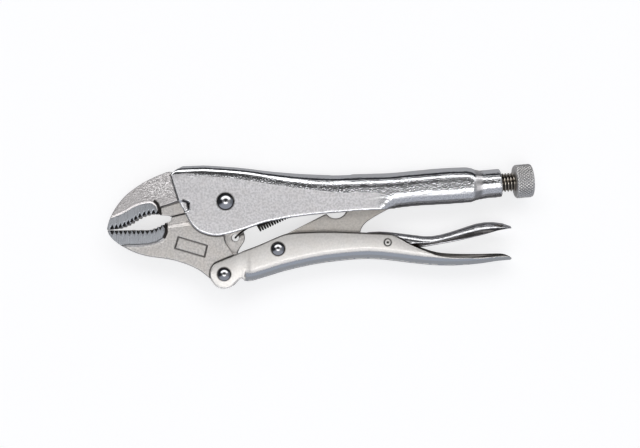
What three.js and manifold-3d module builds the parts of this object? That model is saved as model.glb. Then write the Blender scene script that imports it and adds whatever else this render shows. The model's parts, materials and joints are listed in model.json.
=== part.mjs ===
// Locking pliers, 10 inch, curved jaws with a wire cutter, jaws closed and toggle locked.
// Millimetres. The tool lies on its side: +X runs from the jaws to the adjusting knob, +Y towards the
// upper handle, +Z up out of the flat of the tool. Shapes are drawn in the plane of the tool with the
// main jaw pivot at (0, 0) and the middle of the tool at z = 0; the last lines set it on the ground.
import * as THREE from 'three';
import { mergeVertices } from 'three/addons/utils/BufferGeometryUtils.js';
import Module from 'manifold-3d';

const wasm = await Module();
wasm.setup();

// ---------------------------------------------------------------- driving dimensions
const fit = 0.3;                    // running clearance between pieces that move or seat
const riveted = 0.2;                // clearance under a rivet head

const jawThickness = 11.2;          // forged body of both jaws
const padRise = 0.5;                // ground gripping pads stand this much above each side
const padSlope = 1.1;               // width of the slope round a pad
const cutterDrop = 1.0;             // the wire cutter is this much below each side
const toothPitch = 2.6;
const toothDepth = 1.1;
const forgingEdge = 0.5;            // bevel round the forged blanks
const jawEyeRadius = 9.5;           // lower jaw, round the main pivot
const lowerEyeRadius = 8.0;         // lower jaw, round the handle pivot
const springWeb = 3.5;              // thinned lug of the lower jaw that takes the spring
const springHoleDiameter = 4.4;

const handleSheet = 2.3;            // upper handle
const lowerSheet = 2.0;             // lower handle
const leverSheet = 1.5;             // release lever
const frontBend = 4.5;              // bend radius of the upper handle at its front
const crownFlat = 0.4;              // half of the flat left on top of a half-round back
const tubeCurl = THREE.MathUtils.degToRad(78);   // how far the handle curls in to close its tube
const lowerChannelInside = 10.4;    // lower handle, inside width behind the joggle
const tailFlare = 1.3;              // release lever, extra half-width at its tail

const linkThickness = 5.0;
const linkEyeRadius = 5.6;
const linkLobeRadius = 6.6;         // round end that bears on the screw
const openPivotGap = 0.95;          // between that lobe and the screw's point

const screwDiameter = 11.1;         // 7/16 inch
const neckWall = 2.55;              // round neck that carries the screw
const neckLength = 9.0;
const screwTilt = THREE.MathUtils.degToRad(5);
const threadShowing = 8.3;          // between the neck and the knob
const pointLength = 4.0;            // plain end of the screw
const pointChamfer = 0.6;
const knobDiameter = 19.8;
const knobLength = 10.4;
const knobChamfer = 1.2;
const spigotDiameter = 8.0;         // end of the screw, pressed into the knob
const spigotLength = 7.0;

const springWire = 1.1;
const springOutside = 6.3;
const springTurns = 21;
const springPitch = 1.6;
const hookLeg = 14.5;               // straight wire between the lower jaw and the first coil

const mainRivet = { shank: 6.4, head: 9.7, dome: 2.0 };
const handleRivet = { shank: 5.2, head: 7.9, dome: 1.8 };
const leverRivet = { shank: 2.8, head: 4.0, dome: 0.3 };

// Pivots in the plane of the tool, from the main jaw pivot.
const mainPivot = new THREE.Vector2(0, 0);
const handlePivot = new THREE.Vector2(-0.8, -42.6);
const linkPivot = new THREE.Vector2(30.6, -27.75);
const linkEnd = new THREE.Vector2(92, 1.2);
const leverPivot = new THREE.Vector2(94.6, -23.9);
const neckCentre = new THREE.Vector2(157, 10.6);
const springHole = new THREE.Vector2(5.1, -21.3);
const springAnchor = new THREE.Vector2(61, 5.2);

// ---------------------------------------------------------------- widths that follow
const jawHalf = jawThickness / 2;
const screwRadius = screwDiameter / 2;
const channelHalf = jawHalf + fit + handleSheet;      // upper handle, outside, round the jaws
const tubeHalf = screwRadius + fit + handleSheet;     // upper handle, outside, round the screw
const neckRadius = screwRadius + fit + neckWall;
const earInner = jawHalf + fit;                       // lower handle's ears straddle the lower jaw
const earHalf = earInner + lowerSheet;
const lowerHalf = lowerChannelInside / 2 + lowerSheet;
const leverHalf = lowerChannelInside / 2 - fit;
const springRadius = (springOutside - springWire) / 2;

// ---------------------------------------------------------------- solids
function toSolid(geometry) {
  const bare = geometry.clone();
  bare.deleteAttribute('normal');
  bare.deleteAttribute('uv');
  const merged = mergeVertices(bare, 1e-4);
  const vertProperties = new Float32Array(merged.attributes.position.array);
  const triVerts = new Uint32Array(merged.index.array);
  return new wasm.Manifold(new wasm.Mesh({ numProp: 3, vertProperties, triVerts }));
}

function toGeometry(solid) {
  const mesh = solid.getMesh();
  const geometry = new THREE.BufferGeometry();
  const position = new Float32Array(mesh.numVert * 3);
  for (let i = 0; i < mesh.numVert; i += 1) {
    position.set(mesh.vertProperties.subarray(i * mesh.numProp, i * mesh.numProp + 3), i * 3);
  }
  geometry.setAttribute('position', new THREE.BufferAttribute(position, 3));
  geometry.setIndex(new THREE.BufferAttribute(new Uint32Array(mesh.triVerts), 1));
  geometry.computeVertexNormals();
  return geometry;
}

function steelPiece(name, geometry, colour, roughness) {
  const material = new THREE.MeshStandardMaterial({ color: colour, roughness, metalness: 1 });
  const mesh = new THREE.Mesh(geometry, material);
  mesh.name = name;
  return mesh;
}

// A closed outline. Each entry is a corner [x, y], a { curve: [[x, y], ...] } that runs smoothly on
// from the last point, or an { arc: [centre, radius, from, to] } in degrees.
const curveSteps = 4;
const arcStep = 9;
function outline(entries) {
  const points = [];
  entries.forEach((entry) => {
    if (entry.curve) {
      const through = entry.curve.map(([x, y]) => new THREE.Vector2(x, y));
      const line = new THREE.SplineCurve([points[points.length - 1], ...through]);
      points.push(...line.getPoints(curveSteps * through.length));
    } else if (entry.arc) {
      const [centre, radius, from, to] = entry.arc;
      const steps = Math.ceil(Math.abs(to - from) / arcStep);
      for (let i = 0; i <= steps; i += 1) {
        const angle = THREE.MathUtils.degToRad(THREE.MathUtils.lerp(from, to, i / steps));
        points.push(new THREE.Vector2(Math.cos(angle), Math.sin(angle)).multiplyScalar(radius).add(centre));
      }
    } else {
      points.push(new THREE.Vector2(...entry));
    }
  });
  const apart = (point, i) => point.distanceTo(points[(i + 1) % points.length]) > 0.02;
  return new THREE.Shape(points.filter(apart));
}

// An outline made into a plate between two heights, with sharp edges.
function plate(shape, low, high) {
  const geometry = new THREE.ExtrudeGeometry(shape, {
    depth: high - low,
    bevelEnabled: false,
  });
  geometry.translate(0, 0, low);
  return toSolid(geometry);
}

// An outline moved outwards, or inwards by a negative distance, corner by corner.
function offset(points, distance) {
  return points.map((point, i) => {
    const before = points[(i + points.length - 1) % points.length];
    const after = points[(i + 1) % points.length];
    const inward = point.clone().sub(before).normalize();
    const onward = after.clone().sub(point).normalize();
    const mitre = inward.clone().add(onward);
    const length = Math.max(mitre.length(), 1);
    return new THREE.Vector2(mitre.y, -mitre.x).multiplyScalar((2 * distance) / length ** 2).add(point);
  });
}

// An outline made into a plate with sloping edges, `rise` high and `run` wide. The outline is the
// widest part of the plate, or its flat faces where `run` lies outside it.
function bevelledPlate(shape, half, rise, run, outside = false) {
  const corners = shape.getPoints();
  if (THREE.ShapeUtils.area(corners) < 0) corners.reverse();
  const face = offset(corners, outside ? 0 : -run);
  const middle = offset(corners, outside ? run : 0);
  const ring = (points, z) => points.map((point) => new THREE.Vector3(point.x, point.y, z));
  return skin([
    ring(face, -half), ring(middle, rise - half), ring(middle, half - rise), ring(face, half),
  ], corners, corners);
}

function pin(centre, radius, half, sides = 28) {
  const geometry = new THREE.CylinderGeometry(radius, radius, 2 * half, sides);
  geometry.rotateX(Math.PI / 2);
  geometry.translate(centre.x, centre.y, 0);
  return toSolid(geometry);
}

function block(low, high) {
  const geometry = new THREE.BoxGeometry(high[0] - low[0], high[1] - low[1], high[2] - low[2]);
  geometry.translate((low[0] + high[0]) / 2, (low[1] + high[1]) / 2, (low[2] + high[2]) / 2);
  return toSolid(geometry);
}

// A rivet along Z through a stack of the given half-thickness, domed at both ends.
function rivetGeometry(rivet, stackHalf) {
  const seat = stackHalf + riveted;
  const head = rivet.head / 2;
  const domeRadius = (head * head + rivet.dome * rivet.dome) / (2 * rivet.dome);
  const domeSteps = 4;
  const cap = [];
  for (let i = 0; i <= domeSteps; i += 1) {
    const radius = head * Math.sin((Math.PI / 2) * (i / domeSteps));
    const drop = domeRadius - Math.sqrt(domeRadius * domeRadius - radius * radius);
    cap.push(new THREE.Vector2(radius, seat + rivet.dome - drop));
  }
  const upper = [...cap, new THREE.Vector2(rivet.shank / 2, seat)];
  const lower = upper.map((point) => new THREE.Vector2(point.x, -point.y));
  const profilePoints = [...lower, ...upper.reverse()];
  const geometry = new THREE.LatheGeometry(profilePoints, 20);
  geometry.rotateX(Math.PI / 2);
  return geometry;
}

// A value that runs smoothly through [x, value] pairs.
function profile(pairs) {
  const last = pairs.length - 1;
  const slopes = pairs.map((pair, i) => {
    const before = pairs[Math.max(i - 1, 0)];
    const after = pairs[Math.min(i + 1, last)];
    return (after[1] - before[1]) / (after[0] - before[0]);
  });
  return (x) => {
    if (x <= pairs[0][0]) return pairs[0][1];
    if (x >= pairs[last][0]) return pairs[last][1];
    const i = pairs.findIndex((pair) => pair[0] > x) - 1;
    const span = pairs[i + 1][0] - pairs[i][0];
    const t = (x - pairs[i][0]) / span;
    const rise = (1 - t) ** 2 * (1 + 2 * t);
    return rise * pairs[i][1] + (1 - rise) * pairs[i + 1][1]
      + t * (1 - t) ** 2 * span * slopes[i] - t * t * (1 - t) * span * slopes[i + 1];
  };
}

function ramp(x, from, to) {
  return THREE.MathUtils.smoothstep(x, from, to);
}

// Evenly spaced stations from one x to the next.
function stations(from, to, count) {
  return Array.from({ length: count }, (_, i) => from + ((to - from) * i) / count);
}

// Cross-section of a bent sheet, as one closed run of [z, y] points. The sheet's back is at `back`
// and its lips at `lip`; `curl` is the angle by which the lips turn in, `bend` the radius of the
// corners at the back. The same number of points is used at every station, so sections can be lofted.
const curlPoints = 4;
const bendPoints = 5;
function sheetSection({ back, lip, half, bend, wall, curl = 0 }) {
  const up = Math.sign(back - lip);
  const arcLength = half * curl;
  const turnIn = lip + up * half * Math.sin(curl);
  const side = [];
  for (let i = 0; i <= curlPoints; i += 1) {
    const run = (half * tubeCurl * i) / curlPoints;
    const angle = Math.max(arcLength - run, 0) / half;
    const straight = Math.max(run - arcLength, 0);
    side.push({
      z: half * Math.cos(angle),
      y: turnIn + up * (straight - half * Math.sin(angle)),
      normal: [Math.cos(angle), -up * Math.sin(angle)],
    });
  }
  for (let i = 0; i <= bendPoints; i += 1) {
    const angle = (Math.PI / 2) * (i / bendPoints);
    side.push({
      z: half - bend + bend * Math.cos(angle),
      y: back - up * (bend - bend * Math.sin(angle)),
      normal: [Math.cos(angle), up * Math.sin(angle)],
    });
  }
  const outer = side.map((p) => [p.z, p.y]);
  const inner = side.map((p) => [p.z - wall * p.normal[0], p.y - wall * p.normal[1]]);
  const mirror = (points) => points.map(([z, y]) => [-z, y]).reverse();
  return [...outer, ...mirror(outer), ...mirror(inner.slice().reverse()), ...inner.reverse()];
}

// A closed solid through rings of as many points each. The two contours are the flat shapes of the
// first and the last ring, by which the ends are closed.
function skin(rings, firstContour, lastContour) {
  const size = firstContour.length;
  const index = [];
  for (let i = 0; i + 1 < rings.length; i += 1) {
    for (let j = 0; j < size; j += 1) {
      const a = i * size + j;
      const b = i * size + ((j + 1) % size);
      index.push(a, b, a + size, b, b + size, a + size);
    }
  }
  const closeEnd = (contour, first, turned) => {
    const ringTurn = Math.sign(THREE.ShapeUtils.area(contour));
    THREE.ShapeUtils.triangulateShape([...contour], []).forEach(([a, b, c]) => {
      const turn = Math.sign(THREE.ShapeUtils.area([contour[a], contour[b], contour[c]]));
      const corners = (turn === ringTurn) === turned ? [c, b, a] : [a, b, c];
      index.push(...corners.map((corner) => corner + first));
    });
  };
  closeEnd(firstContour, 0, true);
  closeEnd(lastContour, (rings.length - 1) * size, false);
  const positions = rings.flat().flatMap((point) => [point.x, point.y, point.z]);
  const geometry = new THREE.BufferGeometry();
  geometry.setAttribute('position', new THREE.Float32BufferAttribute(positions, 3));
  geometry.setIndex(index);
  const solid = toSolid(geometry);
  if (solid.volume() > 0) return solid;
  geometry.setIndex(index.reverse());
  return toSolid(geometry);
}

// A solid through cross-sections along X. Each has its x, its [z, y] points and a lean about Z, which
// tips it over the height `leanHeight`.
function loft(sections) {
  const rings = sections.map(({ x, points, lean = 0, leanHeight = 0 }) => points.map(
    ([z, y]) => new THREE.Vector3(x - (y - leanHeight) * Math.tan(lean), y, z),
  ));
  const flat = (section) => section.points.map(([z, y]) => new THREE.Vector2(z, y));
  return skin(rings, flat(sections[0]), flat(sections[sections.length - 1]));
}

// A toothed edge: V notches of one depth along a smooth line, cut to its left or right.
function serrated(points, side) {
  const line = new THREE.SplineCurve(points.map(([x, y]) => new THREE.Vector2(x, y)));
  const count = Math.round(line.getLength() / toothPitch);
  const edge = [];
  for (let i = 0; i <= 2 * count; i += 1) {
    const at = line.getPointAt(i / (2 * count));
    const along = line.getTangentAt(i / (2 * count));
    const cut = i % 2 === 1 ? side * toothDepth : 0;
    edge.push([at.x - along.y * cut, at.y + along.x * cut]);
  }
  return edge;
}

// ---------------------------------------------------------------- screw axis
const axisDirection = new THREE.Vector2(Math.cos(screwTilt), Math.sin(screwTilt));
const axisHeight = (x) => neckCentre.y + (x - neckCentre.x) * Math.tan(screwTilt);
const neckEnd = neckLength / 2;     // along the axis, from the middle of the neck
const tipAlong = linkEnd.clone().sub(neckCentre).dot(axisDirection) + linkLobeRadius + openPivotGap;

// ---------------------------------------------------------------- upper handle
// One sheet, folded as an open channel over the jaws and the toggle link, curled into a closed tube
// behind them and drawn down to a round neck for the screw.
const neckFrom = neckCentre.x - neckLength / 2;
const neckTo = neckCentre.x + neckLength / 2;
const curlFrom = 88;
const curlTo = 101;
const shoulderFrom = 141;
const handleTop = profile([
  [-34, 20.4], [-22, 20.9], [-14, 21.2], [8, 19.8], [29, 17.4], [57, 15.8], [78, 16.3], [96, 16.9],
  [114, 18.6], [128, 19.8], [139, 20.3],
]);
const handleLip = profile([
  [4, -22], [10, -20], [20, -15.5], [30, -11], [43, -8.7], [59, -6.9], [69, -6.2], [79, -5.3],
  [88, -5.1], [94, -5], [107, -3], [132, -1.5], [139, -0.8],
]);

function upperHandleSection(x) {
  const neck = ramp(x, shoulderFrom, neckFrom);
  const axis = axisHeight(x);
  const body = THREE.MathUtils.lerp(channelHalf, tubeHalf, ramp(x, 60, curlFrom));
  const half = THREE.MathUtils.lerp(body, neckRadius, neck);
  const roundness = ramp(x, 10, 62);
  return {
    x,
    lean: screwTilt * ramp(x, shoulderFrom - 4, neckFrom),
    leanHeight: axis,
    points: sheetSection({
      back: THREE.MathUtils.lerp(handleTop(x), axis + neckRadius, neck),
      lip: THREE.MathUtils.lerp(handleLip(x), axis - neckRadius, neck),
      half,
      bend: THREE.MathUtils.lerp(frontBend, half - crownFlat, roundness),
      wall: THREE.MathUtils.lerp(handleSheet, neckWall, neck),
      curl: tubeCurl * ramp(x, curlFrom, curlTo),
    }),
  };
}

const handleSide = outline([
  [-32.3, 15.4],
  [-27.9, 1.0],
  { curve: [[-23.9, -6.8], [-20.4, -12.8], [-15.6, -17.4], [-8.4, -19.9], [-1.2, -19.7], [9.6, -16.8],
    [22.9, -12.4], [33.1, -10.4]] },
  [40, -11.5],
  [60, -12],
  [180, -12],
  [180, 40],
  [-26, 40],
  [-26, 20.3],
  { curve: [[-28.2, 19.2], [-30.4, 17.5], [-32.3, 15.4]] },
]);

const tongueHalf = springRadius - springWire / 2 - fit - 0.1;
const tongueFront = springAnchor.x - 1.8;
const tongueBack = tongueFront + handleSheet;
const tongueFoot = springAnchor.y - 3.6;
const lanceLength = 11.5;

function upperHandle() {
  const along = [
    ...stations(-34, 86, 18), ...stations(86, 102, 9), ...stations(102, shoulderFrom, 4),
    ...stations(shoulderFrom, neckFrom, 6), neckFrom, neckTo,
  ];
  const sheet = loft(along.map(upperHandleSection));
  const spineInside = handleTop(springAnchor.x) - handleSheet;
  const tongue = block([tongueFront, tongueFoot, -tongueHalf], [tongueBack, spineInside + 1, tongueHalf]);
  const slot = block(
    [tongueBack, spineInside - 1.5, -tongueHalf - fit],
    [tongueBack + lanceLength, spineInside + handleSheet + 3, tongueHalf + fit],
  );
  const solid = sheet
    .intersect(plate(handleSide, -channelHalf - 5, channelHalf + 5))
    .subtract(pin(mainPivot, mainRivet.shank / 2 + fit, channelHalf + 5))
    .add(tongue)
    .subtract(slot);
  return steelPiece('upper_handle', toGeometry(solid), 0xc2c1c0, 0.32);
}

// ---------------------------------------------------------------- jaws
const partingSlope = Math.atan2(1.8, 7.5);
const partingAt = (x) => -7.05 + (x + 23.9) * Math.tan(partingSlope);
const seatRadius = jawEyeRadius + fit;

// Angle, in degrees, at which the parting line meets a circle round the main pivot.
function partingAngle(radius, lift) {
  const distance = (partingAt(0) + lift) * Math.cos(partingSlope);
  const turn = Math.asin(THREE.MathUtils.clamp(distance / radius, -1, 1));
  return 180 + THREE.MathUtils.radToDeg(partingSlope - turn);
}

const upperTeeth = serrated([
  [-67.8, -16.6], [-63.5, -16.3], [-59, -14.9], [-55.5, -13.1], [-51.9, -10.8], [-48.4, -9.1],
  [-44.9, -8], [-41.5, -7.7], [-38.4, -8.1],
], 1);
const lowerTeeth = serrated([
  [-67.8, -16.9], [-59, -16.75], [-52, -16.7], [-45, -16.5], [-41.4, -15.4], [-37.9, -13.7],
  [-35.5, -12.5],
], -1);

// Where the top of the upper jaw's tang lies inside the handle.
const tangTop = (x) => handleTop(x) - Math.max(frontBend - forgingEdge, handleSheet + fit);
const tangEnd = 4;

function upperJawOutline() {
  return outline([
    [-69.3, -16.6],
    { curve: [[-69.3, -14.9], [-66.2, -6.2], [-59, 3.3], [-48.4, 11], [-37.9, 15.9], [-33, 17.5]] },
    [-31.6, tangTop(-31.6)],
    [-22, tangTop(-22)],
    [-12, tangTop(-12)],
    [tangEnd, tangTop(tangEnd)],
    { arc: [mainPivot, seatRadius, 60, partingAngle(seatRadius, fit / 2)] },
    [-32.2, partingAt(-32.2) + fit / 2],
    [-40, -16.6],
  ]);
}

function upperJaw() {
  const body = bevelledPlate(upperJawOutline(), jawHalf, forgingEdge, forgingEdge);
  const padShape = outline([
    [-75, -20],
    [-75, -9.9],
    [-67.6, -9.9],
    { curve: [[-60.3, -7.1], [-52.6, -2.8], [-47, -1.2], [-43.4, -1.2], [-40.8, -3.6], [-39.4, -9]] },
    [-39.4, -20],
  ]);
  const pad = bevelledPlate(padShape, jawHalf + padRise, padRise, padSlope, true)
    .intersect(plate(upperJawOutline(), -jawHalf - padRise - 1, jawHalf + padRise + 1));
  const recess = outline([
    [-38.2, -3.2],
    [-27.2, 0.8],
    { curve: [[-23, 0.6], [-20.7, -2.4], [-20.6, -12]] },
    [-38.2, -12],
  ]);
  const reach = jawHalf + padRise + 1;
  const mouth = outline([[-80, -16.6], ...upperTeeth, [-33.5, -8.4], [-32.2, -9.2], [-32.2, -40], [-80, -40]]);
  const solid = body.add(pad)
    .subtract(plate(recess, jawHalf - cutterDrop, reach))
    .subtract(plate(recess, -reach, cutterDrop - jawHalf))
    .subtract(plate(mouth, -reach, reach));
  return steelPiece('upper_jaw', toGeometry(solid), 0xaaa9ad, 0.38);
}

function lowerJawOutline() {
  return outline([
    [-69.3, -16.9],
    [-60, partingAt(-60) - fit / 2],
    { arc: [mainPivot, jawEyeRadius, partingAngle(jawEyeRadius, -fit / 2), -28] },
    { curve: [[8.6, -10], [9.6, -16.7], [10.6, -20.5], [10.2, -23.5], [7.8, -27.2], [6.4, -30.2]] },
    { arc: [handlePivot, lowerEyeRadius, 10, -150] },
    { curve: [[-14.4, -41.2], [-20.4, -37.9], [-28.7, -35], [-35.9, -33.5], [-45.5, -32.2],
      [-54.5, -29.5], [-62.3, -25.2], [-67.6, -20.6], [-69.3, -16.9]] },
  ]);
}

function lowerJaw() {
  const body = bevelledPlate(lowerJawOutline(), jawHalf, forgingEdge, forgingEdge);
  const padShape = outline([
    [-75, -12],
    [-75, -30],
    [-62.5, -30],
    [-61.3, -25.5],
    { curve: [[-55, -25.7], [-48.2, -25.4], [-40, -23.6], [-36.2, -21.2], [-35, -17.7], [-35, -12]] },
  ]);
  const pad = bevelledPlate(padShape, jawHalf + padRise, padRise, padSlope, true)
    .intersect(plate(lowerJawOutline(), -jawHalf - padRise - 1, jawHalf + padRise + 1));
  const recess = outline([
    [-34.2, -5],
    [-34.2, -13.8],
    [-20.5, -11.3],
    { curve: [[-18.6, -9.6], [-18.4, -4]] },
  ]);
  const reach = jawHalf + padRise + 1;
  const mouth = outline([
    [-80, -16.9], ...lowerTeeth, [-34.4, -12.4], [-33.3, -11.8], [-32.4, -11.3], [-31.9, -9], [-31.9, 5],
    [-80, 5],
  ]);
  const lug = outline([
    [30, -12.5],
    [3, -12.5],
    { curve: [[-0.8, -16], [-1.3, -20], [-0.5, -24], [1.6, -27.3], [4.2, -31.2]] },
    [30, -31.2],
  ]);
  const solid = body.add(pad)
    .subtract(plate(recess, jawHalf - cutterDrop, reach))
    .subtract(plate(recess, -reach, cutterDrop - jawHalf))
    .subtract(plate(mouth, -reach, reach))
    .subtract(plate(lug, springWeb / 2, reach))
    .subtract(plate(lug, -reach, -springWeb / 2))
    .subtract(pin(springHole, springHoleDiameter / 2, reach, 18))
    .subtract(pin(mainPivot, mainRivet.shank / 2 + fit, reach))
    .subtract(pin(handlePivot, handleRivet.shank / 2 + fit, reach));
  return steelPiece('lower_jaw', toGeometry(solid), 0xc0bfc0, 0.36);
}

// ---------------------------------------------------------------- lower handle
// A channel with its back down, ears spread round the lower jaw, and one wall cut away in a slant
// behind the lever's pivot so that the tail is a shallow trough.
const lowerBack = profile([
  [8, -46.2], [12.6, -47], [18.5, -45.9], [32.6, -41.4], [53.7, -36.7], [74.8, -34.2], [86, -33.8],
  [97, -34.8], [117, -37.1], [132, -37.8], [148, -36.7], [159, -35], [168, -34.2],
]);
const joggleFrom = 11.5;
const joggleTo = 16;
const tailTip = 167.6;
const webFront = 10.4;
const earRadius = 8.5;

function lowerHandleSection(x) {
  const half = THREE.MathUtils.lerp(earHalf, lowerHalf, ramp(x, joggleFrom, joggleTo));
  return {
    x,
    points: sheetSection({
      back: lowerBack(x),
      lip: -12,
      half,
      bend: THREE.MathUtils.lerp(half - crownFlat, 5.4, ramp(x, 120, tailTip)),
      wall: lowerSheet,
    }),
  };
}

// Side view of one wall: both share the ears and the straight front, the cut-away differs.
function lowerWallOutline(cutAway) {
  return outline([
    [webFront, -60],
    [webFront, -28.9],
    { curve: [[19.9, -25.3], [31.9, -20.1], [38, -18.5], [49.8, -17.8], [61.8, -17.6], [73.8, -18],
      [91.8, -18.7], [97.7, -19.5], ...cutAway] },
    [tailTip, -60],
  ]);
}

const nearCutAway = [[106.1, -24.4], [118.2, -29.6], [126, -32], [135, -33], [150, -32.8], [163, -32],
  [tailTip, -32.9]];
const farCutAway = [[106.1, -23.4], [116.1, -27.4], [125, -30], [135, -30.9], [150, -31], [163, -30.8],
  [tailTip, -32.3]];

function lowerHandle() {
  const along = [...stations(webFront, joggleTo, 4), ...stations(joggleTo, tailTip, 18), tailTip];
  const sheet = loft(along.map(lowerHandleSection));
  const wide = earHalf + 2;
  const near = sheet.intersect(plate(lowerWallOutline(nearCutAway), -0.001, wide));
  const far = sheet.intersect(plate(lowerWallOutline(farCutAway), -wide, 0.001));
  const ear = outline([
    { arc: [handlePivot, earRadius, 128, 302] },
    { curve: [[8.4, -45.2], [webFront + 1, -46.2]] },
    [webFront + 1, -28.5],
    { curve: [[5.4, -31.2], [-2.4, -34.4], [-6.1, -36]] },
  ]);
  const hole = pin(handlePivot, handleRivet.shank / 2 + fit, wide);
  const linkHole = pin(linkPivot, handleRivet.shank / 2 + fit, wide);
  const leverHole = pin(leverPivot, leverRivet.shank / 2 + fit, wide, 16);
  const solid = near.add(far)
    .add(plate(ear, earInner, earHalf))
    .add(plate(ear, -earHalf, -earInner))
    .subtract(hole)
    .subtract(linkHole)
    .subtract(leverHole);
  return steelPiece('lower_handle', toGeometry(solid), 0xd0cfce, 0.3);
}

// ---------------------------------------------------------------- toggle link
const humpFoot = -22.8;
function toggleLink() {
  const arm = outline([
    { arc: [linkPivot, linkEyeRadius, 280, 118] },
    [57.6, -7.7],
    { arc: [new THREE.Vector2(64.3, -3.1), 6.8, 217, 384] },
    { curve: [[78, 2.4], [84, 5.6], [88.6, 6.9]] },
    { arc: [linkEnd, linkLobeRadius, 112, -62] },
    { curve: [[90.6, -7], [86.4, -9.4], [82.2, -12.3], [79.7, -15.4], [78.9, -17.8], [78, -20.6],
      [75.4, humpFoot + 0.3]] },
    { curve: [[72, humpFoot], [66, humpFoot - 0.3], [56, -25], [44, -30.2], [33.5, -33.1]] },
  ]);
  const boss = pin(linkPivot, linkEyeRadius, lowerChannelInside / 2 - fit);
  const solid = bevelledPlate(arm, linkThickness / 2, 0.4, 0.4)
    .add(boss)
    .subtract(pin(linkPivot, handleRivet.shank / 2 + fit, lowerHalf));
  return steelPiece('toggle_link', toGeometry(solid), 0xafaba8, 0.45);
}

// ---------------------------------------------------------------- release lever
// A narrow channel with its back up, inside the lower handle: its nose reaches under the hump of the
// toggle link and its tail flares out behind.
const leverNose = 71.5;
const leverTip = 167.6;
const leverBack = profile([
  [leverNose, humpFoot - fit - 0.3], [77.5, humpFoot - fit - 0.3], [79.6, -22.2], [82, -18.7],
  [84.5, -17.9], [93, -17.7], [108, -19.4], [119, -20.5], [127, -19.3], [137.6, -16.1], [148, -12.8],
  [156, -12], [163, -12.8], [leverTip, -14.4],
]);

function leverSection(x) {
  const half = leverHalf + tailFlare * ramp(x, 136, 152);
  return {
    x,
    points: sheetSection({
      back: leverBack(x),
      lip: -36,
      half,
      bend: THREE.MathUtils.lerp(3.2, half - crownFlat, ramp(x, 96, 130)),
      wall: leverSheet,
    }),
  };
}

// Side view of one flange of the lever; the far one is the deeper of the two.
function leverFlange(underside) {
  return outline([
    [leverNose, 0],
    [leverNose, -26],
    { curve: [[80, -26.4], [88, -27.8], [94.6, -28.3], [101, -27.8], ...underside] },
    [leverTip, 0],
  ]);
}

const nearUnderside = [[108.5, -25], [116.3, -24.4], [121.6, -23.8], [131.2, -21.5], [143.3, -18.1],
  [152.3, -16.2], [161.2, -15.6], [leverTip, -15.9]];
const farUnderside = [[108.5, -27.4], [116.1, -26.9], [122.4, -25.9], [137.6, -23.1], [153.3, -19.4],
  [161.1, -17.1], [leverTip, -15.9]];

function releaseLever() {
  const along = [
    ...stations(leverNose, 77, 2), ...stations(77, 85, 6), ...stations(85, leverTip, 16), leverTip,
  ];
  const sheet = loft(along.map(leverSection));
  const wide = leverHalf + tailFlare + 2;
  const solid = sheet.intersect(plate(leverFlange(nearUnderside), -0.001, wide))
    .add(sheet.intersect(plate(leverFlange(farUnderside), -wide, 0.001)))
    .subtract(pin(leverPivot, leverRivet.shank / 2 + fit, wide, 16));
  return steelPiece('release_lever', toGeometry(solid), 0xcccbca, 0.28);
}

// ---------------------------------------------------------------- adjusting screw and knob
// Turned pieces, drawn along the screw's axis from the middle of the neck and leaned over by a group.
function turned(points, sides) {
  const geometry = new THREE.LatheGeometry(points.map(([r, s]) => new THREE.Vector2(r, s)), sides);
  geometry.rotateZ(-Math.PI / 2);
  return geometry;
}

function screwGroup() {
  const knobFrom = neckEnd + threadShowing;
  const knobTo = knobFrom + knobLength;
  const pointTo = tipAlong + pointLength;
  const spigotRadius = spigotDiameter / 2;
  const knobRadius = knobDiameter / 2;
  const point = turned([
    [0, tipAlong],
    [screwRadius - pointChamfer, tipAlong],
    [screwRadius, tipAlong + pointChamfer],
    [screwRadius, pointTo],
    [0, pointTo],
  ], 24);
  const shank = turned([
    [0, pointTo + fit],
    [screwRadius, pointTo + fit],
    [screwRadius, knobFrom - fit],
    [spigotRadius, knobFrom - fit],
    [spigotRadius, knobFrom + spigotLength],
    [0, knobFrom + spigotLength],
  ], 24);
  const knob = turned([
    [0, knobFrom + spigotLength + fit],
    [spigotRadius + fit, knobFrom + spigotLength + fit],
    [spigotRadius + fit, knobFrom],
    [knobRadius - knobChamfer, knobFrom],
    [knobRadius, knobFrom + knobChamfer],
    [knobRadius, knobTo - knobChamfer],
    [knobRadius - knobChamfer, knobTo],
    [0, knobTo],
  ], 36);
  const group = new THREE.Group();
  group.position.set(neckCentre.x, neckCentre.y, 0);
  group.rotation.z = screwTilt;
  group.add(steelPiece('screw_point', point, 0x8d8985, 0.35));
  group.add(steelPiece('adjusting_screw', shank, 0x8d8985, 0.35));
  group.add(steelPiece('adjusting_knob', knob, 0x9f9d9d, 0.4));
  return group;
}

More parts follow.
